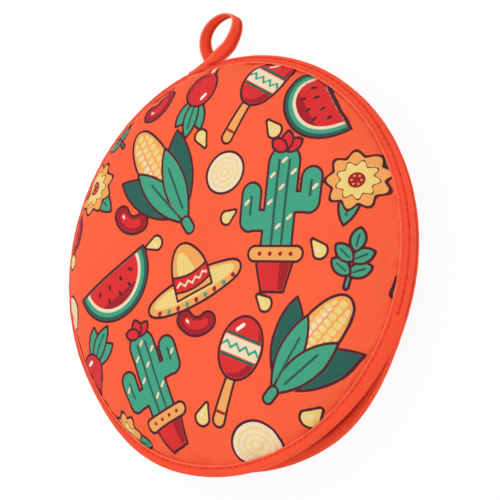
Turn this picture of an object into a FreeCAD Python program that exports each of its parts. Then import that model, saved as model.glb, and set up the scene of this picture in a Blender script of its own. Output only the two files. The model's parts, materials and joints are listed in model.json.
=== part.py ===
"""Round fabric tortilla warmer: two padded discs bound with tape, sewn together around the back
and open along the front, with a hanging loop of the same tape.

The pouch lies on its back panel. Origin: centre of the disc on the table. +Z is up, towards the
front panel, +Y points to the hanging loop, and the mouth faces -Y. All sizes are in millimetres.

Each panel is a sandwich of cover, batting and lining whose edge is wrapped by a binding tape. Its
height is one function of radius and angle, so that every layer, tape and thread follows it.
"""
import FreeCAD, Part
import math
import os

# ---- the whole pouch ----
DISC_R = 152.5           # outer radius over the binding tapes
SEAM_HEIGHT = 26.0       # joining plane of the two panels above the table
SEWN_HALF_ARC = 116.5    # degrees each side of the loop that the joining seam covers
MOUTH_EASE = 45.0        # degrees over which each lip leaves the joining plane

# ---- layers ----
COVER_T = 0.6            # printed cover cloth
LINING_T = 0.6           # plain lining cloth
PAD_T = 8.0              # cover, batting and lining together in the middle of a panel
EDGE_T = 2.6             # the same three pressed together inside the binding
PAD_EASE_W = 43.35       # width near the rim over which a panel thins from one to the other
PAD_EASE_START = 1.0     # how far under the binding that thinning ends
TAPE_T = 0.9             # folded binding tape, one side
LAY_GAP = 0.12           # air between layers that lie on each other
PANEL_GAP = 0.3          # air between the two bound edges where they are sewn

# ---- binding and its threads ----
BINDING_PLAN_W = 8.0     # binding's width seen from straight above
FOLD_ROUND = 0.35        # share of the tape's thickness left at the corners of its fold
EDGE_STITCH_INSET = 2.2  # edge stitching, from the binding's inner lip
SEAM_STITCH_INSET = 5.0  # joining seam, from the binding's inner lip
SEAM_END_BACK = 1.0      # degrees that the joining seam's thread stops short of each mouth end
THREAD_D = 0.5

# ---- front panel ----
FRONT_INNER_RISE = 9.0   # cover at the binding's inner lip, above the joining plane
FRONT_CROWN = 20.0       # crown above that lip
CROWN_POWER = 6.5        # how close to the rim the crown turns down
LIP_LIFT = 10.0          # how far the mouth's upper lip stands above the sewn rim
LIP_INNER_LIFT = 5.0     # the same at the binding's inner lip
LIP_REACH = 0.8          # how far the mouth's upper lip reaches out

# ---- back panel ----
BACK_INNER_DROP = 9.0    # cover at the binding's inner lip, below the joining plane
BACK_SEWN_TUCK = 1.5     # the back panel's sewn edge sits a little inside the front panel's
BACK_LIP_TUCK = 3.5      # how far the lower lip draws in, flat on the table
TUCK_EASE_W = 61.0       # width near the rim over which a lip is drawn in or reaches out

# ---- mouth hinge ----
HINGE_GAP = 0.3          # cut between the sewn part and the flap of the front panel
HINGE_LIFT = 0.4         # hinge line above the cover's crown

# ---- hanging loop ----
LOOP_LENGTH = 34.5       # from the rim to the loop's end
LOOP_SPREAD = 17.0       # widens the teardrop
LOOP_PARTING = 2.8       # how far each leg's middle starts from the centre
LOOP_LEAN = 10.0         # how far the loop's end leans to the right
LOOP_TAPE_W = 10.8
LOOP_TAPE_T = 1.3
LOOP_TURN = 180.0        # degrees that the tape turns over between its two legs
LOOP_LEG_CUT = 14.0      # degrees of the teardrop left out at each leg
LEG_GAP = 0.3            # air between the legs, which lie one over the other
ROOT_ROUND = 0.3         # how far the loop's rounded root stands past the legs' faces
LOOP_CLEAR = 0.3         # air between the loop's legs and the bound rim
BAR_TACK_HALF = 2.4      # degrees of the rim each side of the loop's centre
BAR_TACK_INSET = 6.6     # from the binding's inner lip

# ---- worked out from these ----
HINGE_Y = -DISC_R * math.sin(math.radians(SEWN_HALF_ARC - 90.0))
CORE_R = DISC_R - TAPE_T - LAY_GAP
LIP_R = DISC_R - BINDING_PLAN_W
FRONT_EDGE_RISE = PANEL_GAP / 2.0 + TAPE_T + LAY_GAP + EDGE_T
FRONT_BAND_SLOPE = (FRONT_INNER_RISE - FRONT_EDGE_RISE) / (CORE_R - LIP_R)
MOUTH_HALF_ARC = 180.0 - SEWN_HALF_ARC
SEWN_START = 90.0 - SEWN_HALF_ARC
SEWN_END = 90.0 + SEWN_HALF_ARC
LOOP_LAYER = (LOOP_TAPE_T + LEG_GAP) / 2.0
LOOP_ROOT_R = LOOP_LAYER + LOOP_TAPE_T / 2.0 + ROOT_ROUND
LOOP_HINGE_Y = DISC_R + LOOP_CLEAR + LOOP_ROOT_R
LOOP_ANGLE = 90.0
MOUTH_START = SEWN_END
MOUTH_END = SEWN_START + 360.0

# ---- how finely the shapes are drawn ----
MIDDLE_R = 10.0          # flat disc in the middle of every layer
RING_STEP = 10.0         # degrees between the points of a ring
TAPE_STEP = 6.0          # degrees between the sections of a tape
BODY_RINGS = 12          # rings between the middle and the binding's lip
RING_CROWDING = 1.6      # how much closer those rings lie near the lip
EDGE_RINGS = 3           # rings under the binding
LOOP_STEPS = 24          # sections along the loop
CUT_OVERRUN = 4.0        # degrees that a tape runs past the cut that shortens it
RING_TURN = 359.9        # degrees of a tape that goes all the way round, ends meeting
CUTTER_SIDE = 4.0 * DISC_R


def smooth(x):
    """0 below 0, 1 above 1, and a smooth step between."""
    x = min(max(x, 0.0), 1.0)
    return x * x * (3.0 - 2.0 * x)


def mouth_share(angle):
    """0 along the sewn arc, growing to 1 in the middle of the mouth. angle is in degrees."""
    from_mouth = abs((angle - 270.0 + 180.0) % 360.0 - 180.0)
    return smooth((MOUTH_HALF_ARC - from_mouth) / MOUTH_EASE)


def pad_thickness(r):
    """Cover, batting and lining together at radius r."""
    return EDGE_T + (PAD_T - EDGE_T) * smooth((LIP_R + PAD_EASE_START - r) / PAD_EASE_W)


def band(r):
    """0 at the binding's inner lip, 1 at the edge of the sandwich."""
    return min(max((r - LIP_R) / (CORE_R - LIP_R), 0.0), 1.0)


def front_cover_z(r, angle):
    """Height of the front cover's outer side."""
    m = mouth_share(angle)
    at_lip = SEAM_HEIGHT + FRONT_INNER_RISE + LIP_INNER_LIFT * m
    at_edge = SEAM_HEIGHT + FRONT_EDGE_RISE + LIP_LIFT * m
    if r >= LIP_R:
        return at_lip + (at_edge - at_lip) * band(r)
    crown = FRONT_CROWN - LIP_INNER_LIFT * m
    return at_lip + crown * (1.0 - (r / LIP_R) ** CROWN_POWER)


def back_cover_z(r, angle):
    """Height of the back cover's outer side: flat on the table, rising to the sewn rim."""
    m = mouth_share(angle)
    under_tape = TAPE_T + LAY_GAP
    at_lip = (SEAM_HEIGHT - BACK_INNER_DROP) * (1.0 - m) + under_tape * m
    at_sewn_edge = SEAM_HEIGHT - FRONT_EDGE_RISE + BACK_SEWN_TUCK * FRONT_BAND_SLOPE
    at_edge = at_sewn_edge * (1.0 - m) + under_tape * m
    if r >= LIP_R:
        return at_lip + (at_edge - at_lip) * band(r)
    return at_lip * (r / LIP_R) ** CROWN_POWER


class Panel:
    """One padded disc. up is 1 for the front panel, whose cover is on top, and -1 for the back."""

    def __init__(self, up, cover_z, sewn_tuck, mouth_tuck):
        self.up = up
        self.cover_z = cover_z
        self.sewn_tuck = sewn_tuck
        self.mouth_tuck = mouth_tuck

    def radius(self, r, angle):
        """Radius r drawn in near the rim, by one tuck along the seam and another in the mouth."""
        near_rim = smooth((r - DISC_R + TUCK_EASE_W) / TUCK_EASE_W)
        m = mouth_share(angle)
        return r - near_rim * (self.sewn_tuck * (1.0 - m) + self.mouth_tuck * m)

    def z(self, r, angle, depth):
        """Height at the given depth below the cover's outer side, towards the lining."""
        return self.cover_z(r, angle) - self.up * depth

    def point(self, r, angle, depth):
        a = math.radians(angle)
        real_r = self.radius(r, angle)
        return FreeCAD.Vector(real_r * math.cos(a), real_r * math.sin(a), self.z(r, angle, depth))


FRONT = Panel(1.0, front_cover_z, 0.0, -LIP_REACH)
BACK = Panel(-1.0, back_cover_z, BACK_SEWN_TUCK, BACK_LIP_TUCK)


def middle_ring(panel, depth):
    """Circle around the flat disc in the middle of a layer."""
    height = FreeCAD.Vector(0, 0, panel.z(MIDDLE_R, 90.0, depth))
    circle = Part.Circle(height, FreeCAD.Vector(0, 0, 1), MIDDLE_R)
    quarter_turn = FreeCAD.Rotation(FreeCAD.Vector(0, 0, 1), 90)
    circle.rotate(FreeCAD.Placement(FreeCAD.Vector(), quarter_turn))
    return Part.Wire([circle.toShape()])


def ring(panel, r, depth):
    """Closed smooth curve around the panel at radius r and a depth below the cover."""
    count = int(round(360.0 / RING_STEP))
    points = [panel.point(r, 90.0 + k * RING_STEP, depth) for k in range(count)]
    curve = Part.BSplineCurve()
    curve.interpolate(points, PeriodicFlag=True)
    return Part.Wire([curve.toShape()])


def layer(panel, top_depth, bottom_depth):
    """Solid between two depths, each a function of the radius, out to the sandwich's edge."""
    radii = [MIDDLE_R + (LIP_R - MIDDLE_R) * (1.0 - (1.0 - (k + 1) / BODY_RINGS) ** RING_CROWDING)
             for k in range(BODY_RINGS)]
    radii += [LIP_R + (CORE_R - LIP_R) * (k + 1) / EDGE_RINGS for k in range(EDGE_RINGS)]
    outside = [middle_ring(panel, top_depth(MIDDLE_R))] + [ring(panel, r, top_depth(r)) for r in radii]
    inside = [ring(panel, r, bottom_depth(r)) for r in reversed(radii)]
    inside.append(middle_ring(panel, bottom_depth(MIDDLE_R)))
    return Part.makeLoft(outside + inside, True, True)


def cover(panel):
    return layer(panel, lambda r: 0.0, lambda r: COVER_T)


def batting(panel):
    return layer(panel,
                 lambda r: COVER_T + LAY_GAP,
                 lambda r: pad_thickness(r) - LINING_T - LAY_GAP)


def lining(panel):
    return layer(panel, lambda r: pad_thickness(r) - LINING_T, pad_thickness)


def along(start, end, step):
    """Evenly spaced angles from start to end, about step apart."""
    count = max(int(round(abs(end - start) / step)), 2)
    return [start + (end - start) * k / count for k in range(count + 1)]


def swept(sections):
    """Solid through closed polygons that all have as many corners."""
    wires = [Part.makePolygon(corners + [corners[0]]) for corners in sections]
    return Part.makeLoft(wires, True, False)


def tape_section(panel, angle):
    """Corners of the binding where it wraps the panel's edge."""
    outer = TAPE_T + LAY_GAP
    deep = pad_thickness(CORE_R)
    fold_corner = outer * FOLD_ROUND - LAY_GAP
    return [
        panel.point(LIP_R, angle, -outer),
        panel.point(CORE_R, angle, -outer),
        panel.point(DISC_R, angle, -fold_corner),
        panel.point(DISC_R, angle, deep + fold_corner),
        panel.point(CORE_R, angle, deep + outer),
        panel.point(LIP_R, angle, deep + outer),
        panel.point(LIP_R, angle, deep + LAY_GAP),
        panel.point(CORE_R + LAY_GAP, angle, deep + LAY_GAP),
        panel.point(CORE_R + LAY_GAP, angle, -LAY_GAP),
        panel.point(LIP_R, angle, -LAY_GAP),
    ]


def binding(panel, start, end):
    return swept([tape_section(panel, a) for a in along(start, end, TAPE_STEP)])


def thread(panel, inset, depth, away, start, end):
    """Stitch line laid on a tape. away is 1 on the cover side and -1 on the lining side."""
    r = LIP_R + inset
    half = THREAD_D / 2.0

    def section(angle):
        near = depth - away * LAY_GAP / 2.0
        far = near - away * THREAD_D
        return [panel.point(r - half, angle, near), panel.point(r + half, angle, near),
                panel.point(r + half, angle, far), panel.point(r - half, angle, far)]

    return swept([section(a) for a in along(start, end, TAPE_STEP)])


def on_cover_side():
    return -(TAPE_T + LAY_GAP)


def on_lining_side():
    return EDGE_T + TAPE_T + LAY_GAP


def slab(y_low, y_high, middle_z=0.0):
    """Tall box between two Y values, wide enough for the whole pouch."""
    corner = FreeCAD.Vector(-CUTTER_SIDE / 2.0, y_low, middle_z - CUTTER_SIDE / 2.0)
    return Part.makeBox(CUTTER_SIDE, y_high - y_low, CUTTER_SIDE, corner)


def sewn_part(solid):
    """The part of a front layer that stays with the pouch."""
    return solid.common(slab(HINGE_Y + HINGE_GAP / 2.0, CUTTER_SIDE / 2.0))


def flap_part(solid):
    """The part of a front layer that lifts with the mouth's upper lip."""
    return solid.common(slab(-CUTTER_SIDE / 2.0, HINGE_Y - HINGE_GAP / 2.0))


def hinge_height():
    """Height of the mouth's hinge line, just above the cover."""
    return front_cover_z(abs(HINGE_Y), 270.0) + HINGE_LIFT


def loop_section(t):
    """Corners of the loop's tape at parameter t, 0 at the front leg and 1 at the back leg.

    Centre line: a leaning teardrop, x = spread sin(a) sin(a/2) + parting cos(a/2) + lean s and
    y = base + length s with s = (1 - cos a) / 2, sinking from the front leg's layer to the back
    leg's. The tape turns over on the way: flat at both legs, on its edge at the loop's end.
    """
    a = math.radians(LOOP_LEG_CUT + (360.0 - 2.0 * LOOP_LEG_CUT) * t)
    out = (1.0 - math.cos(a)) / 2.0
    middle = FreeCAD.Vector(
        LOOP_SPREAD * math.sin(a) * math.sin(a / 2.0) + LOOP_PARTING * math.cos(a / 2.0)
        + LOOP_LEAN * out,
        DISC_R + LOOP_LENGTH * out,
        SEAM_HEIGHT + LOOP_LAYER * math.cos(a / 2.0))
    run = FreeCAD.Vector(
        LOOP_SPREAD * (math.cos(a) * math.sin(a / 2.0) + 0.5 * math.sin(a) * math.cos(a / 2.0))
        - 0.5 * LOOP_PARTING * math.sin(a / 2.0) + 0.5 * LOOP_LEAN * math.sin(a),
        LOOP_LENGTH * math.sin(a) / 2.0,
        0.0)
    run.normalize()
    turned = math.radians(LOOP_TURN * smooth(a / (2.0 * math.pi)))
    up = FreeCAD.Vector(0, 0, 1)
    wide = run.cross(up) * math.cos(turned) - up * math.sin(turned)
    thick = run.cross(wide)
    w = wide * (LOOP_TAPE_W / 2.0)
    h = thick * (LOOP_TAPE_T / 2.0)
    return [middle + w + h, middle - w + h, middle - w - h, middle + w - h]


def hanging_loop():
    """The loop's tape, its legs ending in a rounded root that turns against the rim."""
    tape = swept([loop_section(k / LOOP_STEPS) for k in range(LOOP_STEPS + 1)])
    free = slab(LOOP_HINGE_Y, CUTTER_SIDE / 2.0, SEAM_HEIGHT)
    root_end = FreeCAD.Vector(-CUTTER_SIDE / 2.0, LOOP_HINGE_Y, SEAM_HEIGHT)
    root = Part.makeCylinder(LOOP_ROOT_R, CUTTER_SIDE, root_end, FreeCAD.Vector(1, 0, 0))
    return tape.common(free.fuse(root))


def save(name, solid):
    solid.exportStep("parts/" + name + ".step")
    print(name, len(solid.Solids), round(solid.Volume, 1), "valid" if solid.isValid() else "NOT VALID")


os.makedirs("parts", exist_ok=True)

save("back_cover", cover(BACK))
save("back_batting", batting(BACK))
save("back_lining", lining(BACK))
save("back_binding", binding(BACK, LOOP_ANGLE, LOOP_ANGLE + RING_TURN))
save("back_binding_thread",
     thread(BACK, EDGE_STITCH_INSET, on_lining_side(), -1.0, MOUTH_START, MOUTH_END))

for name, make in (("cover", cover), ("batting", batting), ("lining", lining)):
    whole = make(FRONT)
    save("front_" + name, sewn_part(whole))
    save("front_" + name + "_flap", flap_part(whole))

past_sewn = (SEWN_START - CUT_OVERRUN, SEWN_END + CUT_OVERRUN)
past_mouth = (MOUTH_START - CUT_OVERRUN, MOUTH_END + CUT_OVERRUN)
save("front_binding", sewn_part(binding(FRONT, *past_sewn)))
save("front_binding_flap", flap_part(binding(FRONT, *past_mouth)))
save("front_binding_thread",
     sewn_part(thread(FRONT, EDGE_STITCH_INSET, on_cover_side(), 1.0, *past_sewn)))
save("front_binding_flap_thread",
     flap_part(thread(FRONT, EDGE_STITCH_INSET, on_cover_side(), 1.0, *past_mouth)))

seam_ends = (SEWN_START + SEAM_END_BACK, SEWN_END - SEAM_END_BACK)
seam_rows = [thread(panel, SEAM_STITCH_INSET, on_cover_side(), 1.0, *seam_ends) for panel in (FRONT, BACK)]
save("joining_seam", Part.makeCompound(seam_rows))

save("hanging_loop", hanging_loop())
save("loop_bar_tack", thread(FRONT, BAR_TACK_INSET, on_cover_side(), 1.0,
                             LOOP_ANGLE - BAR_TACK_HALF, LOOP_ANGLE + BAR_TACK_HALF))
print("mouth hinge", round(HINGE_Y, 3), round(hinge_height(), 3), "loop hinge", round(LOOP_HINGE_Y, 3))
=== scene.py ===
# %% [markdown]
# # A padded tortilla warmer
# The real object is a flat round pouch. Two padded discs of printed cloth are each bound with tape,
# then sewn together round two thirds of the rim. The rest of the rim is the mouth. Every layer of a
# disc follows one curved shape, so the lesson writes that shape down once, as a height for each
# radius and angle, and every cloth, tape and stitch reads it. The sizes are the fixed model's own.

# %% Open the fixed model
import json
import math

import bpy
import numpy as np
from mathutils import Matrix, Vector


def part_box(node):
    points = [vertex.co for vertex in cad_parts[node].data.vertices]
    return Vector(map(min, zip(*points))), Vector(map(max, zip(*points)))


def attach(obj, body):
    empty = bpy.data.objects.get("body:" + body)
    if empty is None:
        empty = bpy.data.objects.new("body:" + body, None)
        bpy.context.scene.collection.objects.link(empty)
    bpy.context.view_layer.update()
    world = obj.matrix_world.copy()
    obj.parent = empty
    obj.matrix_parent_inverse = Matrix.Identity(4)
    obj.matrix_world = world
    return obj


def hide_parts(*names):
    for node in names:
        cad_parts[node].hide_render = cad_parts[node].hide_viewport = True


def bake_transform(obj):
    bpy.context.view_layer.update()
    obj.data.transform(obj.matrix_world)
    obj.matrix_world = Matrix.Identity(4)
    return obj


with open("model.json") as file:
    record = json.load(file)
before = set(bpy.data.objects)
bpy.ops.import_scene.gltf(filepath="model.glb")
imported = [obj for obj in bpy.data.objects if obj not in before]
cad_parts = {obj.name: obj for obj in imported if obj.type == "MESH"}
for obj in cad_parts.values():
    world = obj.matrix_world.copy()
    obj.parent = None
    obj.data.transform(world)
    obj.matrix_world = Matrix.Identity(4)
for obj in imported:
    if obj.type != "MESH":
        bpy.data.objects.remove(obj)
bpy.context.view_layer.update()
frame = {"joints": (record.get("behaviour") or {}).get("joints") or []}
joints = {joint["name"]: joint for joint in frame["joints"]}

# %% Sizes, in metres and degrees
MM = 0.001
DISC_R = round(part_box("front_binding")[1].x, 4)      # outer radius over the binding tapes
SEAM_HEIGHT = joints["loop_swing"]["pos_m"][2]        # joining plane above the table
MOUTH_HINGE = joints["mouth_open"]["pos_m"]
SEWN_HALF_ARC = 90.0 + math.degrees(math.asin(-MOUTH_HINGE[1] / DISC_R))
MOUTH_HALF_ARC = 180.0 - SEWN_HALF_ARC
MOUTH_EASE = 45.0            # degrees over which each lip leaves the joining plane
COVER_T = 0.6 * MM
LINING_T = 0.6 * MM
PAD_T = 8.0 * MM             # cover, batting and lining in the middle of a disc
EDGE_T = 2.6 * MM            # the same three inside the tape
PAD_EASE_W = 43.35 * MM      # width near the rim over which a disc thins
PAD_EASE_START = 1.0 * MM
TAPE_T = 0.9 * MM
LAY_GAP = 0.12 * MM          # air between layers that lie on each other
PANEL_GAP = 0.3 * MM         # air between the two bound edges
TAPE_W = 8.0 * MM            # tape's width seen from straight above
FRONT_INNER_RISE = 9.0 * MM  # front cover at the tape's lip, above the joining plane
FRONT_CROWN = 20.0 * MM      # middle of the front cover, above that
CROWN_POWER = 6.5            # the higher, the flatter the top of the dome
LIP_LIFT = 10.0 * MM         # how far the upper lip's edge stands up in the mouth
LIP_INNER_LIFT = 5.0 * MM    # the same at the tape's lip
LIP_REACH = 2.0 * MM         # how far the upper lip reaches out there
BACK_INNER_DROP = 9.0 * MM   # back cover at the tape's lip, below the joining plane
FRONT_SEWN_TUCK = 1.3 * MM   # how far the sewn rim of the front disc is drawn in
BACK_SEWN_TUCK = 1.85 * MM
BACK_LIP_TUCK = 2.5 * MM     # how far in the lower lip lies
TUCK_EASE_W = 61.0 * MM      # width of disc over which that takes effect
CORE_R = DISC_R - TAPE_T - LAY_GAP                    # edge of the sandwich inside the tape
LIP_R = DISC_R - TAPE_W                               # inner lip of the tape
FRONT_EDGE_RISE = PANEL_GAP / 2.0 + TAPE_T + LAY_GAP + EDGE_T
BAND_SLOPE = (FRONT_INNER_RISE - FRONT_EDGE_RISE) / (CORE_R - LIP_R)
print("disc radius", DISC_R, "sewn half arc", round(SEWN_HALF_ARC, 2))

# %% [markdown]
# ## The shape of one disc
# A padded disc is a shallow dome over the bread it holds. It could be sculpted, or cut from a sphere,
# but a formula keeps the cover, batting, lining, tape and stitches at exactly their distances from
# each other. Near the mouth each lip leaves the joining plane: the upper one stands up, and the
# lower one lies flat on the table.


# %% Height formulas
def smooth(x):
    """0 below 0, 1 above 1, and 3 x^2 - 2 x^3 between."""
    x = np.clip(x, 0.0, 1.0)
    return x * x * (3.0 - 2.0 * x)


def mouth_share(angle):
    """0 along the sewn arc, growing to 1 in the middle of the mouth."""
    from_mouth = np.abs((angle - 90.0) % 360.0 - 180.0)
    return smooth((MOUTH_HALF_ARC - from_mouth) / MOUTH_EASE)


def pad_thickness(r):
    """Cover, batting and lining together: full in the middle, pressed thin near the tape."""
    return EDGE_T + (PAD_T - EDGE_T) * smooth((LIP_R + PAD_EASE_START - r) / PAD_EASE_W)


def over_band(r, inner, at_lip, at_edge):
    """inner up to the tape's lip, then a straight slope from at_lip to at_edge under the tape."""
    band = np.clip((r - LIP_R) / (CORE_R - LIP_R), 0.0, 1.0)
    return np.where(r >= LIP_R, at_lip + (at_edge - at_lip) * band, inner)


# %% Height of each cover
def front_height(r, angle):
    """Front cover: lip + crown (1 - (r / lip radius)^6.5)."""
    m = mouth_share(angle)
    at_lip = SEAM_HEIGHT + FRONT_INNER_RISE + LIP_INNER_LIFT * m
    at_edge = SEAM_HEIGHT + FRONT_EDGE_RISE + LIP_LIFT * m
    dome = at_lip + (FRONT_CROWN - LIP_INNER_LIFT * m) * (1.0 - (r / LIP_R) ** CROWN_POWER)
    return over_band(r, dome, at_lip, at_edge)


def back_height(r, angle):
    """Back cover: flat on the table, rising to the sewn rim as (r / lip radius)^6.5."""
    m = mouth_share(angle)
    under_tape = TAPE_T + LAY_GAP
    at_lip = (SEAM_HEIGHT - BACK_INNER_DROP) * (1.0 - m) + under_tape * m
    at_sewn_edge = SEAM_HEIGHT - FRONT_EDGE_RISE + (BACK_SEWN_TUCK - FRONT_SEWN_TUCK) * BAND_SLOPE
    at_edge = at_sewn_edge * (1.0 - m) + under_tape * m
    return over_band(r, at_lip * (r / LIP_R) ** CROWN_POWER, at_lip, at_edge)


print("pad thickness in the middle", round(float(pad_thickness(0.0)), 4), "and at the edge", EDGE_T)


# %% One disc, front or back
class Panel:
    """up is 1 for the front disc, whose cover is on top, and -1 for the back."""

    def __init__(self, up, height, sewn_tuck, mouth_tuck):
        self.up = up
        self.height = height
        self.tucks = (sewn_tuck, mouth_tuck)
        self.moved = {}

    def shape(self, r, angle, depth):
        """Point at radius r and an angle, at a depth below the cover's outer side."""
        m = mouth_share(angle)
        near_rim = smooth((r - DISC_R + TUCK_EASE_W) / TUCK_EASE_W)
        real_r = r - near_rim * (self.tucks[0] * (1.0 - m) + self.tucks[1] * m)
        turn = np.radians(angle)
        z = self.height(r, angle) - self.up * depth
        return np.stack(np.broadcast_arrays(real_r * np.cos(turn), real_r * np.sin(turn), z), -1)


FRONT = Panel(1.0, front_height, FRONT_SEWN_TUCK, -LIP_REACH)
BACK = Panel(-1.0, back_height, BACK_SEWN_TUCK, BACK_LIP_TUCK)
print("crown of the front cover", round(float(FRONT.shape(0.0, 0.0, 0.0)[2]), 4))

# %% [markdown]
# ## Meshes from arrays
# A disc of cloth could be a polar fan, but that crowds thousands of thin triangles into its middle.
# Here a square grid is bent into the disc, so every cell stays nearly the same size. That suits both
# the simulation and the print, which needs an even spread of points.


# %% Grids and lengths
def disc_grid(cells):
    """Square grid bent into a disc: x = u sqrt(1 - v^2 / 2), y = v sqrt(1 - u^2 / 2)."""
    line = np.linspace(-1.0, 1.0, cells + 1)
    u, v = np.meshgrid(line, line, indexing="ij")
    x, y = u * np.sqrt(1.0 - v * v / 2.0), v * np.sqrt(1.0 - u * u / 2.0)
    return CORE_R * np.minimum(np.hypot(x, y), 1.0), np.degrees(np.arctan2(y, x))


def unit(v):
    """Vectors scaled to length 1."""
    return v / np.linalg.norm(v, axis=-1, keepdims=True)


def length_along(line):
    """How far each point of a line is from its start, measured along the line."""
    return np.concatenate([[0.0], np.cumsum(np.linalg.norm(np.diff(line, axis=0), axis=1))])


# %% Faces between the points of grids
def grid_quads(rows, columns, first=0, round_rows=False, round_columns=False):
    """Four-cornered faces of a grid of points, numbered row by row, that may close on itself."""
    i, j = np.meshgrid(np.arange(rows - (not round_rows)), np.arange(columns - (not round_columns)),
                       indexing="ij")
    i_next, j_next = (i + 1) % rows, (j + 1) % columns
    corners = (i * columns + j, i_next * columns + j, i_next * columns + j_next, i * columns + j_next)
    return first + np.stack(corners, -1).reshape(-1, 4)


def grid_rim(cells, first):
    """Numbers of the points round the edge of a square grid, anticlockwise from above."""
    grid = first + np.arange((cells + 1) ** 2).reshape(cells + 1, cells + 1)
    return np.concatenate([grid[:-1, 0], grid[-1, :-1], grid[:0:-1, -1], grid[0, :0:-1]])


def rim_faces(upper, lower):
    """Faces between two rims that have as many points, or where one has twice as many."""
    up_next, low_next = np.roll(upper, -1), np.roll(lower, -1)
    if len(upper) == len(lower):
        return [np.stack([lower, low_next, up_next, upper], -1)]
    if len(upper) == 2 * len(lower):
        a, middle, b = upper[::2], upper[1::2], up_next[1::2]
        corners = ((lower, middle, a), (lower, low_next, middle), (low_next, b, middle))
    else:
        a, middle, b = lower[::2], lower[1::2], low_next[1::2]
        corners = ((a, middle, upper), (middle, up_next, upper), (middle, b, up_next))
    return [np.stack(three, -1) for three in corners]


# %% Meshes and closed discs
def six_volumes(points, faces):
    """Six times the volume inside the faces: below zero when they point inwards."""
    total = 0.0
    for group in faces:
        for k in range(1, group.shape[1] - 1):
            a, b, c = points[group[:, 0]], points[group[:, k]], points[group[:, k + 1]]
            total += float((a * np.cross(b, c)).sum())
    return total


def add_mesh(name, points, faces, cloth_xy=None):
    """A smooth mesh object at the origin, outside out. cloth_xy is each point's place on the cloth."""
    points = np.asarray(points).reshape(-1, 3)
    if six_volumes(points, faces) < 0.0:
        faces = [group[:, ::-1] for group in faces]
    mesh = bpy.data.meshes.new(name)
    mesh.from_pydata(points.tolist(), [], [face for group in faces for face in group.tolist()])
    mesh.polygons.foreach_set("use_smooth", np.ones(len(mesh.polygons), bool))
    if cloth_xy is not None:
        corner = np.zeros(len(mesh.loops), np.int32)
        mesh.loops.foreach_get("vertex_index", corner)
        places = np.asarray(cloth_xy).reshape(-1, 2)[corner]
        mesh.uv_layers.new(name="cloth").uv.foreach_set("vector", places.astype(np.float32).ravel())
    made = bpy.data.objects.new(name, mesh)
    bpy.context.scene.collection.objects.link(made)
    print(name, len(mesh.polygons), "faces")
    return made


def disc_shell(name, upper, lower):
    """Closed disc of cloth between two square grids of points, bent into discs."""
    counts = [len(side) - 1 for side in (upper, lower)]
    first_low = (counts[0] + 1) ** 2
    faces = [grid_quads(counts[0] + 1, counts[0] + 1),
             grid_quads(counts[1] + 1, counts[1] + 1, first_low)[:, ::-1]]
    faces += rim_faces(grid_rim(counts[0], 0), grid_rim(counts[1], first_low))
    points = np.concatenate([upper.reshape(-1, 3), lower.reshape(-1, 3)])
    return add_mesh(name, points, faces, points[:, :2])


# %% [markdown]
# ## Padding that puffs
# The real disc is held all round by its tape and pushed out by springy batting, so the cloth swells
# and gathers into small puckers. Those could be sculpted by hand, but a short cloth simulation finds
# them by itself: the disc is a closed bag, held at its rim, slightly too large for its frame, with a
# little air pressure inside. Only the movement is kept, capped, and added to the drawn shape.

# %% Settings of the simulation
SIM_CELLS = 60
SIM_FRAMES = 20
AIR_PRESSURE = 4.0
SPARE_CLOTH = 0.022          # share by which the cloth is larger than its frame
BATTING_HOLD = 0.10          # how firmly the batting holds the cloth in place, against 1 at the tape
PUFF_CAP = 3.0 * MM
HELD_WIDTH = 2.2 * MM        # cloth held beside the tape's lip
JOINED_T = 4.0 * MM          # a disc less than this thicker than its edge moves as one
CLOTH_SETTINGS = {
    "quality": 6, "mass": 0.15, "bending_stiffness": 0.3, "shrink_min": -SPARE_CLOTH,
    "use_pressure": True, "uniform_pressure_force": AIR_PRESSURE,
}


# %% How one disc is simulated
def simulated(panel):
    """How far the cover and the lining move when the closed disc puffs up, as two square grids."""
    r, angle = disc_grid(SIM_CELLS)
    cover, lining = panel.shape(r, angle, 0.0), panel.shape(r, angle, pad_thickness(r))
    sides = (cover, lining) if panel.up > 0 else (lining, cover)
    bag = disc_shell("puffing", *sides)
    held = np.tile((r >= LIP_R - HELD_WIDTH).ravel(), 2)
    group = bag.vertex_groups.new(name="held")
    group.add(np.flatnonzero(held).tolist(), 1.0, "REPLACE")
    group.add(np.flatnonzero(~held).tolist(), BATTING_HOLD, "REPLACE")
    cloth = bag.modifiers.new("Cloth", "CLOTH")
    for setting, value in CLOTH_SETTINGS.items():
        setattr(cloth.settings, setting, value)
    cloth.settings.vertex_group_mass = group.name
    cloth.settings.effector_weights.gravity = 0.0
    cloth.collision_settings.use_collision = False
    cloth.point_cache.frame_end = SIM_FRAMES
    for moment in range(1, SIM_FRAMES + 1):
        bpy.context.scene.frame_set(moment)
    settled = bag.evaluated_get(bpy.context.evaluated_depsgraph_get()).data
    now = np.zeros(len(settled.vertices) * 3, np.float32)
    settled.vertices.foreach_get("co", now)
    moved = now.reshape(2, *cover.shape) - np.stack(sides)
    bpy.data.objects.remove(bag)
    bpy.context.scene.frame_set(1)
    far = np.linalg.norm(moved, axis=-1, keepdims=True) + 1e-9
    moved *= PUFF_CAP * np.tanh(far / PUFF_CAP) / far
    print("puffed by up to", round(float(far.max()) / MM, 2), "mm before the cap")
    of_cover, of_lining = moved if panel.up > 0 else moved[::-1]
    together = 1.0 - smooth((pad_thickness(r) - EDGE_T) / JOINED_T)[..., None]
    return {"cover": of_cover, "lining": of_lining + together * (of_cover - of_lining)}


# %% Simulate both discs
for panel in (FRONT, BACK):
    panel.moved = simulated(panel)

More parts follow.
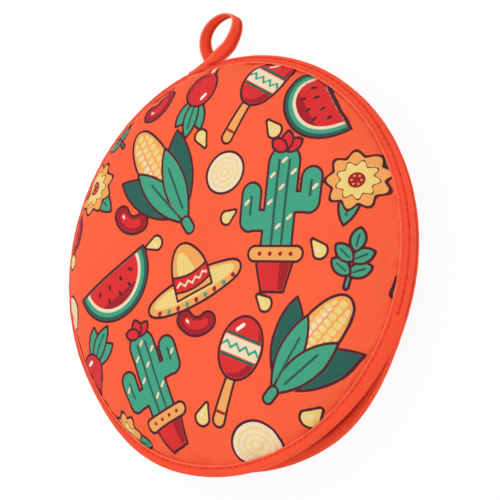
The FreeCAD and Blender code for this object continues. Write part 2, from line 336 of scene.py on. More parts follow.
# %% Puckers along the tape
# each row of puckers: count round the rim, height and start
GATHERS = ((41, 0.32 * MM, 1.0), (67, 0.24 * MM, 0.4), (103, 0.18 * MM, 2.1), (151, 0.10 * MM, 4.0))
GATHER_REACH = 11.0 * MM     # how far the small puckers run in from the tape
GATHER_START = 1.5 * MM      # how far from the tape's lip they are at their full height
LIP_CREASE = 0.45 * MM       # how far the cover dips where the tape's lip presses on it
LIP_CREASE_W = 2.0 * MM


def gathers(r, angle):
    """Puckers where the tape grips the cover: sines round the rim that die away inwards, less
    the crease along the tape's lip."""
    turn = np.radians(angle)
    waves = sum(height * np.sin(count * turn + start) for count, height, start in GATHERS)
    inwards = np.maximum(LIP_R - r, 0.0)
    puckers = waves * np.exp(-inwards / GATHER_REACH) * smooth((LIP_R + GATHER_START - r) / GATHER_START)
    return puckers - LIP_CREASE * np.exp(-(((r - LIP_R) / LIP_CREASE_W) ** 2))


# %% Read the simulated cloth at any fineness
def cubic_weights(coarse, fine):
    """Catmull-Rom weights that read a line of coarse + 1 values at fine + 1 even places."""
    place = np.linspace(0.0, coarse, fine + 1)
    base = np.minimum(place.astype(int), coarse - 1)
    t = place - base
    terms = ((-1, (-t + 2 * t**2 - t**3) / 2), (0, (2 - 5 * t**2 + 3 * t**3) / 2),
             (1, (t + 4 * t**2 - 3 * t**3) / 2), (2, (t**3 - t**2) / 2))
    weights = np.zeros((fine + 1, coarse + 1))
    for shift, weight in terms:
        np.add.at(weights, (np.arange(fine + 1), np.clip(base + shift, 0, coarse)), weight)
    return weights


def cloth_side(panel, side, cells, depth, gathered):
    """Grid of points on the cover or lining side of a disc, at a depth that may depend on r. None
    sinks into the table."""
    r, angle = disc_grid(cells)
    depth = depth(r) if callable(depth) else np.full_like(r, depth)
    weights = cubic_weights(SIM_CELLS, cells)
    points = panel.shape(r, angle, depth) + np.einsum("ij,jkc,lk->ilc", weights, panel.moved[side], weights)
    if gathered:
        points[..., 2] += panel.up * gathers(r, angle)
    points[..., 2] = np.maximum(points[..., 2], depth)
    return points


def layer(name, panel, outer, inner, cells_outer, cells_inner, gathered=False):
    """Closed disc between an outer and an inner side, each given as (side, depth)."""
    grids = [cloth_side(panel, side, cells, depth, gathered)
             for (side, depth), cells in ((outer, cells_outer), (inner, cells_inner))]
    return disc_shell(name, *(grids if panel.up > 0 else grids[::-1]))


# %% [markdown]
# ## Cover, batting and lining
# Each is its own piece, as on a cutting table. The covers are the finest meshes, because the print
# is stored in their points; their hidden side needs only half the rows.

# %% Depths of the layers
FRONT_CELLS = 268
BACK_CELLS = 220
LAYER_CELLS = 110
BATTING_TOP = COVER_T + LAY_GAP
PRESSED_DOWN = 0.9 * MM      # how much further the batting is pressed along the tape's lip


def batting_top(r):
    """Depth of the batting's cover side, below the cover's puckers and crease."""
    return BATTING_TOP + PRESSED_DOWN * np.exp(-np.abs(LIP_R - r) / GATHER_REACH)


def batting_bottom(r):
    """Depth of the batting's lining side."""
    return pad_thickness(r) - LINING_T - LAY_GAP


def lining_top(r):
    """Depth of the lining's hidden side."""
    return pad_thickness(r) - LINING_T


# %% The three layers of each disc
def disc_layers(side, panel, cells):
    """Cover, batting and lining of one disc. The batting is finer on its cover side."""
    cover = layer(side + "_cover_cloth", panel, ("cover", 0.0), ("cover", COVER_T), cells, cells // 2,
                  gathered=True)
    batting = layer(side + "_batting_pad", panel, ("cover", batting_top), ("lining", batting_bottom),
                    2 * LAYER_CELLS, LAYER_CELLS)
    lining = layer(side + "_lining_cloth", panel, ("lining", lining_top), ("lining", pad_thickness),
                   LAYER_CELLS, LAYER_CELLS)
    return cover, batting, lining


front_cover, front_batting, front_lining = disc_layers("front", FRONT, FRONT_CELLS)
back_cover, back_batting, back_lining = disc_layers("back", BACK, BACK_CELLS)

# %% [markdown]
# ## The print
# The cloth carries a bright kitchen print with dark outlines. A picture file could be wrapped on it,
# but this lesson draws the motifs as signed distances: a number that is below zero inside a shape and
# above zero outside. Each ink keeps one such number in every point of the cloth, and the material
# turns it into a crisp edge, so the outline stays sharp between the points.

# %% Inks, in millimetres on the flat cloth
INKS = {
    "line": (84, 36, 46), "dark_green": (44, 96, 86), "green": (67, 163, 130), "dark_red": (166, 34, 44),
    "red": (221, 48, 50), "tan": (242, 168, 92), "yellow": (240, 211, 128), "cream": (240, 219, 186),
    "white": (252, 244, 232),
}
FAR = 1000.0                 # a distance for cloth that an ink doesn't reach
INK_OVERLAP = 0.15           # how far one ink runs on under the next
INK_EDGE = 0.18              # half the width over which an ink fades out
OUTLINE_W = 1.9
print(len(INKS), "inks")


# %% The pen
class Drawing:
    """Inks laid one over another on the cloth. place() moves the pen's own frame."""

    def __init__(self, x, y):
        self.sheet = (x, y)
        self.inks = {name: np.full(x.shape, FAR) for name in INKS}

    def place(self, x, y, turn, size):
        """Start a motif at x, y, turned anticlockwise by turn degrees and scaled by size."""
        dx, dy = self.sheet[0] - x, self.sheet[1] - y
        c, s = math.cos(math.radians(turn)), math.sin(math.radians(turn))
        self.x, self.y, self.size = (dx * c + dy * s) / size, (dy * c - dx * s) / size, size

    def turned(self, x, y, turn):
        """Coordinates along and across a direction, from x, y."""
        c, s = math.cos(math.radians(turn)), math.sin(math.radians(turn))
        return (self.x - x) * c + (self.y - y) * s, (self.y - y) * c - (self.x - x) * s

    def paint(self, ink, distance):
        """Lay one ink over the rest: it gains the region, and the others give way to it."""
        distance = distance * self.size
        for other in self.inks:
            self.inks[other] = np.maximum(self.inks[other], -distance - INK_OVERLAP)
        self.inks[ink] = np.minimum(self.inks[ink], distance)

    def outlined(self, ink, distance):
        """A dark shape, grown by the outline's width, with the ink inside it."""
        self.paint("line", distance - OUTLINE_W / self.size)
        self.paint(ink, distance)

    def disc(self, x, y, radius):
        """Distance from a point, less the radius."""
        return np.hypot(self.x - x, self.y - y) - radius

    def oval(self, x, y, half_w, half_h, turn=0.0):
        """Near the edge of an ellipse: k (k - 1) / gradient, where k is 1 on it."""
        u, v = self.turned(x, y, turn)
        k = np.hypot(u / half_w, v / half_h)
        return k * (k - 1.0) / np.maximum(np.hypot(u / half_w**2, v / half_h**2), 1e-6)

    def bar(self, x0, y0, x1, y1, r0, r1=None):
        """A round-ended bar between two points, whose half width goes from r0 to r1."""
        r1 = r0 if r1 is None else r1
        ax, ay = x1 - x0, y1 - y0
        share = np.clip(((self.x - x0) * ax + (self.y - y0) * ay) / (ax * ax + ay * ay), 0.0, 1.0)
        return np.hypot(self.x - x0 - share * ax, self.y - y0 - share * ay) - (r0 + (r1 - r0) * share)

    def bow(self, x, y, radius, half_turn, half_w):
        """A band round x, y that reaches half_turn degrees each side of straight down, ends round."""
        u, v = self.x - x, y - self.y
        turn = np.clip(np.arctan2(u, v), -math.radians(half_turn), math.radians(half_turn))
        return np.hypot(u - radius * np.sin(turn), v - radius * np.cos(turn)) - half_w

    def leaf(self, x, y, length, width, turn):
        """Where two equal circles cross: a leaf that starts at x, y and points along turn."""
        u, v = self.turned(x, y, turn)
        drop = (length**2 - width**2) / (4.0 * width)
        return np.hypot(u - length / 2.0, np.abs(v) + drop) - (drop + width / 2.0)

    def vein(self, x, y, start, end, turn, half_w):
        """A line along a leaf's middle, from start to end."""
        c, s = math.cos(math.radians(turn)), math.sin(math.radians(turn))
        return self.bar(x + start * c, y + start * s, x + end * c, y + end * s, half_w)


# %% Corn and cactus
# The numbers in a motif are millimetres from its middle, and degrees.


def corn(d):
    """A cob with rows of kernels between husk leaves."""
    for turn in (118, 62):
        d.outlined("dark_green", d.leaf(0, -38, 62, 22, turn))
    cob = d.oval(0, 4, 14, 38)
    d.outlined("tan", cob)
    across = np.abs((d.x + 3.3) % 6.6 - 3.3)
    up = np.abs((d.y + 2.8 * (np.round(d.x / 6.6) % 2)) % 5.6 - 2.8)
    kernels = np.hypot(np.maximum(across - 1.3, 0.0), np.maximum(up - 0.9, 0.0)) - 1.3
    d.paint("yellow", np.maximum(kernels, cob + 1.6))
    d.paint("cream", np.maximum(d.oval(-4, 12, 3, 20), np.maximum(kernels, cob + 1.6)))
    for turn in (104, 76):
        d.outlined("green", d.leaf(0, -44, 58, 17, turn))
    for x in (-1, 1):
        d.paint("dark_green", d.bar(3.2 * x, -34, 9 * x, -2, 1.1))
    d.outlined("green", d.bar(0, -44, 0, -50, 3.0))


def cactus(d):
    """A potted cactus with two arms and a flower."""
    arms = [d.bar(0, -22, 0, 34, 11), d.bar(0, -4, -23, -4, 6), d.bar(-23, -4, -23, 14, 6.5),
            d.bar(0, 8, 22, 8, 6), d.bar(22, 8, 22, 24, 6.5)]
    d.outlined("green", np.minimum.reduce(arms))
    for x, low, high in ((-4, -20, 36), (4, -20, 36), (-23, 0, 12), (22, 12, 22)):
        d.paint("dark_green", d.bar(x, low, x, high, 1.15))
    for x, y in ((-8, 26), (0, 18), (8, 28), (-8, 8), (8, -2), (0, -8), (-26, 8), (25, 18), (0, 36)):
        d.paint("cream", d.bar(x - 1.2, y - 1.2, x + 1.2, y + 1.2, 1.0))
    for turn in (30, 90, 150):
        d.outlined("red", d.leaf(0, 43, 12, 7, turn))
    pot = np.maximum(np.abs(d.x) - 15 - 0.28 * (d.y + 26), np.maximum(-50 - d.y, d.y + 24))
    d.outlined("red", pot)
    d.paint("dark_red", np.maximum(pot + 0.4, 4 - d.x))
    d.outlined("tan", d.bar(-16, -26, 16, -26, 4.2))
    for x in (-12, -4, 4, 12):
        d.paint("dark_red", d.disc(x, -26, 1.7))


# %% Melon, hat and maraca
def melon(d):
    """Half a slice of watermelon, its rind below."""
    for ink, radius in (("green", 33.5), ("cream", 30), ("red", 27.5)):
        if ink == "green":
            d.outlined("dark_green", np.maximum(d.disc(0, 0, 36), d.y))
        d.paint(ink, np.maximum(d.disc(0, 0, radius), d.y + 0.6))
    d.paint("dark_red", np.maximum(d.disc(0, 0, 27.5), d.bar(-34, -34, 34, -34, 15)))
    for x, y in ((-17, -8), (-6, -9), (7, -9), (18, -8), (-11, -18), (1, -19), (12, -18)):
        d.paint("line", d.oval(x, y, 1.5, 2.7, 1.7 * x))


def hat(d):
    """A straw hat with a woven band, and nine dots round its brim."""
    d.outlined("tan", d.oval(0, -10, 42, 11))
    d.paint("yellow", d.oval(0, -8.5, 37, 7.5))
    d.outlined("tan", np.maximum(d.oval(0, -8, 15.5, 33), -d.y - 12))
    d.paint("yellow", np.maximum(d.oval(-3, -8, 8, 28), -d.y - 6))
    above_band = d.y + 3.5 - 0.012 * d.x**2
    d.outlined("red", np.maximum(np.abs(above_band) - 5.0, d.oval(0, -8, 15.5, 33)))
    zigzag = np.abs((d.x + 3.5) % 7 - 3.5)
    d.paint("cream", np.maximum(np.abs(above_band + 1.6 - zigzag) - 1.05, d.oval(0, -8, 14.5, 32)))
    for k in range(9):
        x = -34 + 8.5 * k
        y = -10 - 8.6 * math.sqrt(1 - (x / 39.5) ** 2)
        d.paint("green" if k % 2 else "dark_red", d.disc(x, y, 2.0))


def maraca(d):
    """A painted rattle on a stick."""
    d.outlined("tan", d.bar(0, -14, 0, -46, 3.0, 4.2))
    d.paint("dark_red", d.bar(-3, -40, 3, -40, 1.3))
    head = d.oval(0, 10, 18, 23)
    d.outlined("red", head)
    d.paint("dark_red", np.maximum(head + 0.4, -d.oval(-4, 14, 17, 24)))
    d.paint("cream", np.maximum(head + 0.4, np.abs(d.y - 10) - 6.5))
    zigzag = np.abs((d.x + 4.5) % 9 - 4.5)
    d.paint("green", np.maximum(head + 0.4, np.abs(d.y - 7.6 - zigzag) - 1.5))
    d.paint("dark_green", np.maximum(head + 0.4, np.abs(np.abs(d.y - 10) - 8.4) - 1.2))
    d.paint("white", d.bar(-8, 22, -4, 27, 1.4))


# %% Marigold, radish and onion
def marigold(d):
    """A flower with two rings of petals."""
    for turn in (200, 340):
        d.outlined("green", d.leaf(0, 0, 32, 13, turn))
        d.paint("dark_green", d.vein(0, 0, 8, 26, turn, 1.05))
    around, away = np.arctan2(d.y, d.x), np.hypot(d.x, d.y)
    d.outlined("tan", 0.85 * (away - 19 - 2.2 * np.cos(9 * around)))
    for ink, radius in (("line", 13.6), ("yellow", 12.4)):
        d.paint(ink, 0.85 * (away - radius + 1.8 * np.cos(9 * around)))
    d.paint("dark_red", d.disc(0, 0, 6.0))
    for k in range(6):
        d.paint("tan", d.disc(3.4 * math.cos(k * math.pi / 3), 3.4 * math.sin(k * math.pi / 3), 0.9))


def radish(d):
    """A round radish with three leaves."""
    for turn, length in ((62, 26), (118, 26), (90, 31)):
        d.outlined("green", d.leaf(0, 9, length, 11, turn))
    d.paint("dark_green", d.bar(0, 14, 0, 34, 1.05))
    d.outlined("red", np.minimum(d.oval(0, 0, 13, 14), d.bar(0, -8, 0, -24, 6, 0.6)))
    d.paint("dark_red", np.maximum(d.oval(0, 0, 12.6, 13.6), -d.oval(-3, 2, 13, 14)))
    d.paint("cream", d.bar(0, -17, 0, -24, 1.6, 0.5))
    d.paint("white", d.bar(-6.5, 4, -4, 8, 1.3))


def onion(d):
    """A slice of onion, ring in ring."""
    d.outlined("cream", d.oval(0, 0, 17, 15))
    for half_w, half_h in ((13, 11), (8.6, 7), (4, 3)):
        d.paint("yellow", np.abs(d.oval(0, 0, half_w, half_h)) - 0.9)


# %% Sprig, bean and loose kernel
def sprig(d):
    """A stem with five leaves."""
    leaves = ((0, -10, 30), (0, -10, 150), (0, 0, 35), (0, 0, 145), (1, 8, 90))
    d.outlined("green", d.bar(0, -20, 1, 8, 0.7))
    for x, y, turn in leaves:
        d.outlined("green", d.leaf(x, y, 16, 9, turn))
    for x, y, turn in leaves:
        d.paint("dark_green", d.vein(x, y, 3, 12, turn, 1.05))


def bean(d):
    """A red bean, bent round."""
    d.outlined("dark_red", d.bow(0, 13, 13.5, 48, 6.0))
    d.paint("red", d.bow(0, 13, 12.6, 38, 3.2))
    d.paint("white", d.bow(-1, 13, 12.0, 40, 0.9) + 4.0 * smooth((d.x + 7.0) / 4.0))


def kernel(d):
    """One loose grain of corn."""
    d.outlined("yellow", d.bar(0, -2, 0, 8, 5.4, 0.6))
    d.paint("cream", d.disc(-1.2, -0.6, 1.7))


# %% Where each motif is printed: x, y, turn in degrees and size
LAYOUT = (
    (corn, -36, 66, 28, 1.02), (cactus, 64, 14, -12, 1.05), (melon, -86, 2, 24, 0.95),
    (hat, -14, -14, 14, 0.98), (corn, 78, -78, -50, 0.95), (cactus, -52, -86, 16, 0.92),
    (maraca, 50, 110, -38, 0.85), (maraca, 20, -80, -28, 0.92), (marigold, -104, 74, -30, 0.95),
    (marigold, 122, 26, 50, 0.95), (radish, 2, 124, 160, 0.92), (radish, -118, -66, -40, 0.95),
    (melon, 104, 92, -64, 0.85), (onion, 22, 54, 20, 0.9), (onion, 24, -137, 0, 1.0),
    (sprig, 114, -28, -20, 0.9), (sprig, -84, 112, 40, 0.85), (bean, -66, 36, -30, 0.95),
    (bean, -12, -50, -12, 0.95), (bean, -38, 120, 30, 0.9), (kernel, 64, 76, 30, 0.9),
    (kernel, -136, 24, 70, 1.0), (kernel, 92, -16, 30, 0.9), (kernel, -44, 16, 100, 0.85),
    (marigold, -94, -116, 0, 0.8), (kernel, -12, -112, -30, 0.95), (kernel, 138, -50, 0, 1.0),
    (bean, -126, 44, 80, 0.9), (kernel, 4, 84, 200, 0.85), (onion, -142, -16, 0, 0.85),
    (kernel, 22, 22, -70, 0.8), (kernel, 68, -124, -60, 0.95), (kernel, 46, -44, 40, 0.85),
)


def store(made, name, values):
    """Keep one number in each point of a piece, for its material to read."""
    values = np.ascontiguousarray(values, np.float32).ravel()
    made.data.attributes.new(name, "FLOAT", "POINT").data.foreach_set("value", values)


def print_on(cover, flip):
    """Store every ink's distance in the cover's points. flip mirrors the layout for the back."""
    places = np.zeros(len(cover.data.vertices) * 3, np.float32)
    cover.data.vertices.foreach_get("co", places)
    x, y = (places.reshape(-1, 3)[:, :2] / MM).T
    drawing = Drawing(x * flip, y)
    for motif, *where in LAYOUT:
        drawing.place(*where)
        motif(drawing)
    for ink, distance in drawing.inks.items():
        store(cover, ink, distance)


print_on(front_cover, 1.0)
print_on(back_cover, -1.0)
print(len(LAYOUT), "motifs on each cover")

# %% [markdown]
# ## Cloth finishes
# Printed polyester has a fine plain weave and a soft sheen. A flat colour would look like plastic, so
# each finish starts from its colour and adds the weave, as a tiny bump and a faint change of tone,
# then slow and fine blotches, soft creases, and roughness that wanders a little.


# %% Small tools for node trees
def srgb(red, green, blue):
    """Linear colour from 0 to 255 values: ((c + 0.055) / 1.055)^2.4 away from black."""
    c = np.array((red, green, blue)) / 255.0
    linear = np.where(c <= 0.04045, c / 12.92, ((c + 0.055) / 1.055) ** 2.4)
    return (*linear.tolist(), 1.0)


def plug(tree, socket, value):
    """Set an input to a value, or link it to another node's output."""
    if isinstance(value, bpy.types.NodeSocket):
        tree.links.new(value, socket)
    else:
        socket.default_value = value


def feed(tree, node, **values):
    """Plug a node's inputs, named in lower case with underscores."""
    for name, value in values.items():
        plug(tree, node.inputs[name.replace("_", " ").title()], value)
    return node


def new_node(tree, kind, **values):
    """A new shader node, with some of its inputs plugged."""
    return feed(tree, tree.nodes.new("ShaderNode" + kind), **values)


def new_finish(name):
    """A new material, with its node tree and its Principled shader."""
    material = bpy.data.materials.new(name)
    material.use_nodes = True
    return material, material.node_tree, material.node_tree.nodes["Principled BSDF"]


def step(tree, operation, *values):
    """The result of one Math node on numbers or outputs."""
    node = new_node(tree, "Math")
    node.operation = operation
    for socket, value in zip(node.inputs, values):
        plug(tree, socket, value)
    return node.outputs[0]


# %% Noise, weave and coats
def blotches(tree, place, scale, detail):
    """Soft noise from 0 to 1 over the given places."""
    return new_node(tree, "TexNoise", vector=place, scale=scale, detail=detail).outputs[0]


def weave(tree, pitch, slant):
    """sin(2 pi u / pitch) sin(2 pi v / pitch) over the cloth's own u and v, turned by slant."""
    own = new_node(tree, "UVMap")
    own.uv_map = "cloth"
    turned = new_node(tree, "Mapping", vector=own.outputs[0], rotation=(0.0, 0.0, math.radians(slant)))
    parts = new_node(tree, "SeparateXYZ", vector=turned.outputs[0]).outputs
    turns = 2.0 * math.pi / pitch
    waves = [step(tree, "SINE", step(tree, "MULTIPLY", parts[k], turns)) for k in (0, 1)]
    return step(tree, "MULTIPLY", *waves)


def coated(tree, colour, coats):
    """A colour under its coats. A coat is (attribute, colour, none, full): it covers more as the
    attribute goes from none to full."""
    under = srgb(*colour)
    for attribute, coat, none, full in coats:
        reads = new_node(tree, "Attribute")
        reads.attribute_name = attribute
        share = new_node(tree, "MapRange", value=reads.outputs["Fac"], from_min=none, from_max=full)
        mix = new_node(tree, "Mix", factor=share.outputs[0])
        mix.data_type = "RGBA"
        below, above = (socket for socket in mix.inputs if socket.type == "RGBA")
        plug(tree, below, under)
        plug(tree, above, srgb(*coat))
        under = next(socket for socket in mix.outputs if socket.type == "RGBA")
    return under


# %% A cloth finish
SLOW_SCALE, FINE_SCALE = 22.0, 420.0         # of the noises, per metre
ROUGH_SCALE, CREASE_SCALE = 160.0, 110.0
SLOW_SPREAD = 0.14           # how far the slow blotches change the tone
ROUGH_SPREAD = 0.16
SHEEN_TINT = (255, 190, 165)
SHEEN_ROUGHNESS = 0.45
CLOTH_GLOSS = 0.08


def cloth_finish(name, colour, pitch, slant=0.0, roughness=0.62, sheen=0.02, bump=0.06 * MM, tone=0.05,
                 crease=0.15 * MM, coats=(), mottle=0.03):
    """A woven cloth: its coated colour, then tone, roughness, soft creases and the weave's bump."""
    material, tree, shader = new_finish(name)
    place = new_node(tree, "TexCoord").outputs["Object"]
    threads = weave(tree, pitch, slant)
    slow, fine = blotches(tree, place, SLOW_SCALE, 3.0), blotches(tree, place, FINE_SCALE, 2.0)
    shade = step(tree, "ADD", step(tree, "MULTIPLY", threads, tone),
                 step(tree, "MULTIPLY_ADD", slow, SLOW_SPREAD, 1.0 - (SLOW_SPREAD + mottle) / 2.0))
    shade = step(tree, "MULTIPLY_ADD", fine, mottle, shade)
    painted = new_node(tree, "HueSaturation", color=coated(tree, colour, coats), value=shade)
    rough = step(tree, "MULTIPLY_ADD", blotches(tree, place, ROUGH_SCALE, 2.0), ROUGH_SPREAD,
                 roughness - ROUGH_SPREAD / 2.0)
    height = step(tree, "ADD", step(tree, "MULTIPLY", threads, 0.5), fine)
    soft = new_node(tree, "Bump", height=blotches(tree, place, CREASE_SCALE, 1.5), distance=crease,
                    strength=1.0)
    bumped = new_node(tree, "Bump", height=height, distance=bump, strength=1.0, normal=soft.outputs[0])
    feed(tree, shader, base_color=painted.outputs[0], roughness=rough, normal=bumped.outputs[0],
         sheen_weight=sheen, sheen_roughness=SHEEN_ROUGHNESS, sheen_tint=srgb(*SHEEN_TINT))
    shader.inputs["Specular IOR Level"].default_value = CLOTH_GLOSS
    return material


# %% Every finish of the pouch
COVER_ORANGE = (252, 98, 61)
TAPE_RED = (250, 83, 52)
LINING_RED = (254, 84, 50)
FLEECE_WHITE = (236, 232, 222)
FOLD_HIGHLIGHT = (255, 158, 126)  # painted highlight along a fold of the tape
GROOVE_SHADE_RED = (196, 36, 24)  # painted shade at the bottom of a groove and in the crease between the discs
SEAM_RED = (222, 58, 40)
EDGE_RED = (228, 64, 42)
INK_COATS = [(ink, colour, INK_EDGE, -INK_EDGE) for ink, colour in INKS.items()]
# coats of painted highlight along the tape's folds and painted shade in its grooves and crease
HIGHLIGHT_AND_SHADE_COATS = (("painted_fold_highlight", FOLD_HIGHLIGHT, 0.0, 1.2), ("pinched_and_shaded", GROOVE_SHADE_RED, 0.0, 1.15))
TWIST = {"pitch": 0.5 * MM, "slant": 35.0, "roughness": 0.5, "sheen": 0.1, "bump": 0.05 * MM, "tone": 0.12}
printed_cloth = cloth_finish("printed_polyester", COVER_ORANGE, 1.45 * MM, slant=30.0, tone=0.12,
                             coats=INK_COATS, mottle=0.08)
tape_cloth = cloth_finish("binding_tape_cloth", TAPE_RED, 1.9 * MM, slant=45.0, roughness=0.6,
                          bump=0.07 * MM, tone=0.07, crease=0.4 * MM, coats=HIGHLIGHT_AND_SHADE_COATS, mottle=0.16)
lining_cloth = cloth_finish("plain_lining_cloth", LINING_RED, 1.0 * MM, roughness=0.66)
batting_fleece = cloth_finish("batting_fleece", FLEECE_WHITE, 2.6 * MM, slant=20.0, roughness=0.9,
                              sheen=0.3, bump=0.5 * MM, tone=0.02)
seam_thread = cloth_finish("seam_thread", SEAM_RED, **TWIST)
edge_thread = cloth_finish("edge_thread", EDGE_RED, **TWIST)
print("finishes:", [finish.name for finish in (printed_cloth, tape_cloth, lining_cloth, batting_fleece,
                                               seam_thread, edge_thread)])

# %% Dress the discs
MOUTH_BEND = 0.03            # cloth from the hinge line outwards over which the lip would bend; nothing here bends it
AT_MOUTH = {"body_b": "mouth_flap", "start": Vector(MOUTH_HINGE),
            "end": Vector(MOUTH_HINGE) - Vector((0.0, MOUTH_BEND, 0.0))}


def finish_piece(made, material, nodes=(), bend=None):
    """Give a piece its finish and hide the model's nodes that it stands for. Without a bend it rides on
    the pouch; with one its transform is baked into its mesh, and the bend's contents are not read."""
    made.data.materials.append(material)
    if nodes:
        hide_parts(*nodes)
    if bend is None:
        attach(made, "pouch")
    else:
        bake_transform(made)


finish_piece(front_cover, printed_cloth, ("front_cover", "front_cover_flap"), AT_MOUTH)
finish_piece(front_batting, batting_fleece, ("front_batting", "front_batting_flap"), AT_MOUTH)
finish_piece(front_lining, lining_cloth, ("front_lining", "front_lining_flap"), AT_MOUTH)
finish_piece(back_cover, printed_cloth, ("back_cover",))
finish_piece(back_batting, batting_fleece, ("back_batting",))
finish_piece(back_lining, lining_cloth, ("back_lining",))

# %% [markdown]
# ## Binding tape
# A folded tape wraps each disc's raw edge. It could be a flat ring, but real tape has a round fold
# at its lip, swells between the rows of stitches and sinks into a groove along each of them. So its
# section is a profile carried round the rim, with a relief that knows where the stitches go in.

# %% Where the rows of stitches lie
STITCHES_ROUND = 188         # stitches in a full turn, about 5 mm each
SEAM_INSET = 5.0 * MM        # joining seam, from the tape's lip
EDGE_INSET = 2.2 * MM        # edge stitching, from the tape's lip
GROOVE_W = 0.7 * MM
SEAM_GROOVE = 0.75 * MM
EDGE_GROOVE = 0.5 * MM
SEAM_BETWEEN = 0.45          # depth of the seam's groove between stitch ends, against 1 at them
EDGE_BETWEEN = 0.3
EDGE_SPARED = 0.75           # share of the edge groove that the joining seam beside it takes away
LOOP_ANGLE = 90.0
SEAM_END_BACK = 1.0          # degrees that the joining seam stops short of each mouth end
SEAM_END_EASE = 2.0          # degrees over which its groove fades out there


# %% Grooves along the rows of stitches
def from_loop(angle):
    """Degrees between an angle and the hanging loop's, 0 to 180."""
    return np.abs((angle - LOOP_ANGLE + 180.0) % 360.0 - 180.0)


def sewn_share(angle):
    """1 where the joining seam runs, 0 in the mouth."""
    return 1.0 - smooth((from_loop(angle) - SEWN_HALF_ARC + SEAM_END_BACK) / SEAM_END_EASE)


def wander(angle, first, second, start=0.0):
    """0.75 + 0.25 sin(first t) sin(second t + start): from 0.5 to 1, uneven round the rim."""
    turn = np.radians(angle)
    return 0.75 + 0.25 * np.sin(first * turn) * np.sin(second * turn + start)


def groove_shares(d, angle):
    """How deep a place is in the seam's groove and in the edge stitching's, most at stitch ends."""
    pull = (0.5 - 0.5 * np.cos(STITCHES_ROUND * np.radians(angle))) * wander(angle, 47, 31)
    sewn = sewn_share(angle)
    seam = sewn * (SEAM_BETWEEN + (1.0 - SEAM_BETWEEN) * pull)
    edge = (1.0 - EDGE_SPARED * sewn) * (EDGE_BETWEEN + (1.0 - EDGE_BETWEEN) * pull)
    seam, edge = (share * np.exp(-(((d - inset) / GROOVE_W) ** 2))
                  for share, inset in ((seam, SEAM_INSET), (edge, EDGE_INSET)))
    return seam, edge, pull


print("stitch pitch", round(2.0 * math.pi * LIP_R / STITCHES_ROUND / MM, 2), "mm")

# %% How far the tape swells
EDGE_ROUND = 1.0 * MM        # how much rounder the tape's outer fold is than the layers inside it
TAPE_LEG = CORE_R - LIP_R - EDGE_ROUND       # from the lip to the outer fold
ROLL_W = TAPE_LEG + 1.2 * MM                 # the mouth's roll runs on a little over that fold
ROW_SWELL = 0.40 * MM        # between the two rows of stitches
CORD_SWELL = 0.45 * MM       # outside the joining seam
MOUTH_SWELL = 1.05 * MM      # in the mouth, where no seam holds the tape
LINING_SWELL = 2.4 * MM      # the same on the lining side
LINING_LEAN = 0.75           # below 1 that roll is fuller near the lip
SWELL_POWER = 0.8            # below 1 a swell is fuller than a sine
LIP_BEAD = 0.55 * MM         # the folded lip is thicker than the rest
LIP_BEAD_W = 0.8 * MM
BEAD_PULLED = 0.3            # share of that bead that a stitch pulls flat
RIPPLES = ((29, 0.10, 2.0), (53, 0.14, 0.7), (89, 0.10, 3.0), (137, 0.07, 0.0))     # count, mm, start
LOOP_PUCKERS = (151, 0.45, 0.5)              # the same, where the hanging loop pulls the tape
PUCKER_ANGLE = LOOP_ANGLE + 5.0
PUCKER_W = 7.0               # degrees of rim


def swell(share):
    """sin(pi share)^0.8 as share goes from 0 to 1."""
    return np.sin(math.pi * np.clip(share, 0.0, 1.0)) ** SWELL_POWER


# %% Relief of the tape at any place
def tape_relief(d, angle):
    """Swelling less grooves at distance d from the lip, in metres above the drawn tape."""
    turn = np.radians(angle)
    sewn = sewn_share(angle)
    seam, edge, pull = groove_shares(d, angle)
    puff = sewn * ROW_SWELL * swell((d - EDGE_INSET) / (SEAM_INSET - EDGE_INSET))
    puff = puff + sewn * CORD_SWELL * smooth((d - SEAM_INSET) / (TAPE_LEG - SEAM_INSET))
    puff = puff + (1.0 - sewn) * MOUTH_SWELL * swell((d - EDGE_INSET) / (ROLL_W - EDGE_INSET))
    ripple = sum(height * np.sin(count * turn + start) for count, height, start in RIPPLES)
    count, height, start = LOOP_PUCKERS
    near_loop = np.exp(-(((angle - PUCKER_ANGLE) / PUCKER_W) ** 2))
    ripple = ripple + height * near_loop * np.sin(count * turn + start)
    bead = LIP_BEAD * (1.0 - BEAD_PULLED * pull) * np.exp(-(((d - LIP_BEAD_W) / LIP_BEAD_W) ** 2))
    spread = np.sqrt(np.sin(math.pi * np.clip(d / ROLL_W, 0.0, 1.0)))
    return puff + bead - SEAM_GROOVE * seam - EDGE_GROOVE * edge + ripple * MM * spread


def lining_relief(d, angle):
    """The same on the lining side, which only shows in the mouth: a soft roll."""
    return (1.0 - sewn_share(angle)) * LINING_SWELL * swell(np.clip(d / ROLL_W, 0.0, 1.0) ** LINING_LEAN)


def tape_surface(panel, d, angle, lift=0.0):
    """Point on the tape's cover side, d from its lip, lifted by lift."""
    return panel.shape(LIP_R + d, angle, -(LAY_GAP + TAPE_T + tape_relief(d, angle) + lift))


print("the tape is", round(TAPE_LEG / MM, 2), "mm wide from its lip to its outer fold")

# %% Painted highlight along the folds and painted shade in the grooves
FOLD_HIGHLIGHT_W = 0.8 * MM          # width of the painted highlight along a fold
NO_FOLD = 1.0                # a distance from any fold at which no highlight is painted


def mark_painted_light(made, from_fold, pinched_and_shaded, patchy=1.0):
    """Store the painted highlight along a fold, exp(-(distance to the fold / width)^2), and the painted
    shade.
    """
    store(made, "painted_fold_highlight", patchy * np.exp(-((from_fold / FOLD_HIGHLIGHT_W) ** 2)))
    store(made, "pinched_and_shaded", pinched_and_shaded)


# %% Carry the profile round the rim
LEG_POINTS = 20
FOLD_POINTS = 9
INNER_POINTS = 12
SECTIONS = 6 * STITCHES_ROUND
LIP_ROUND = 0.6 * MM         # width over which the tape's folded lip rounds off
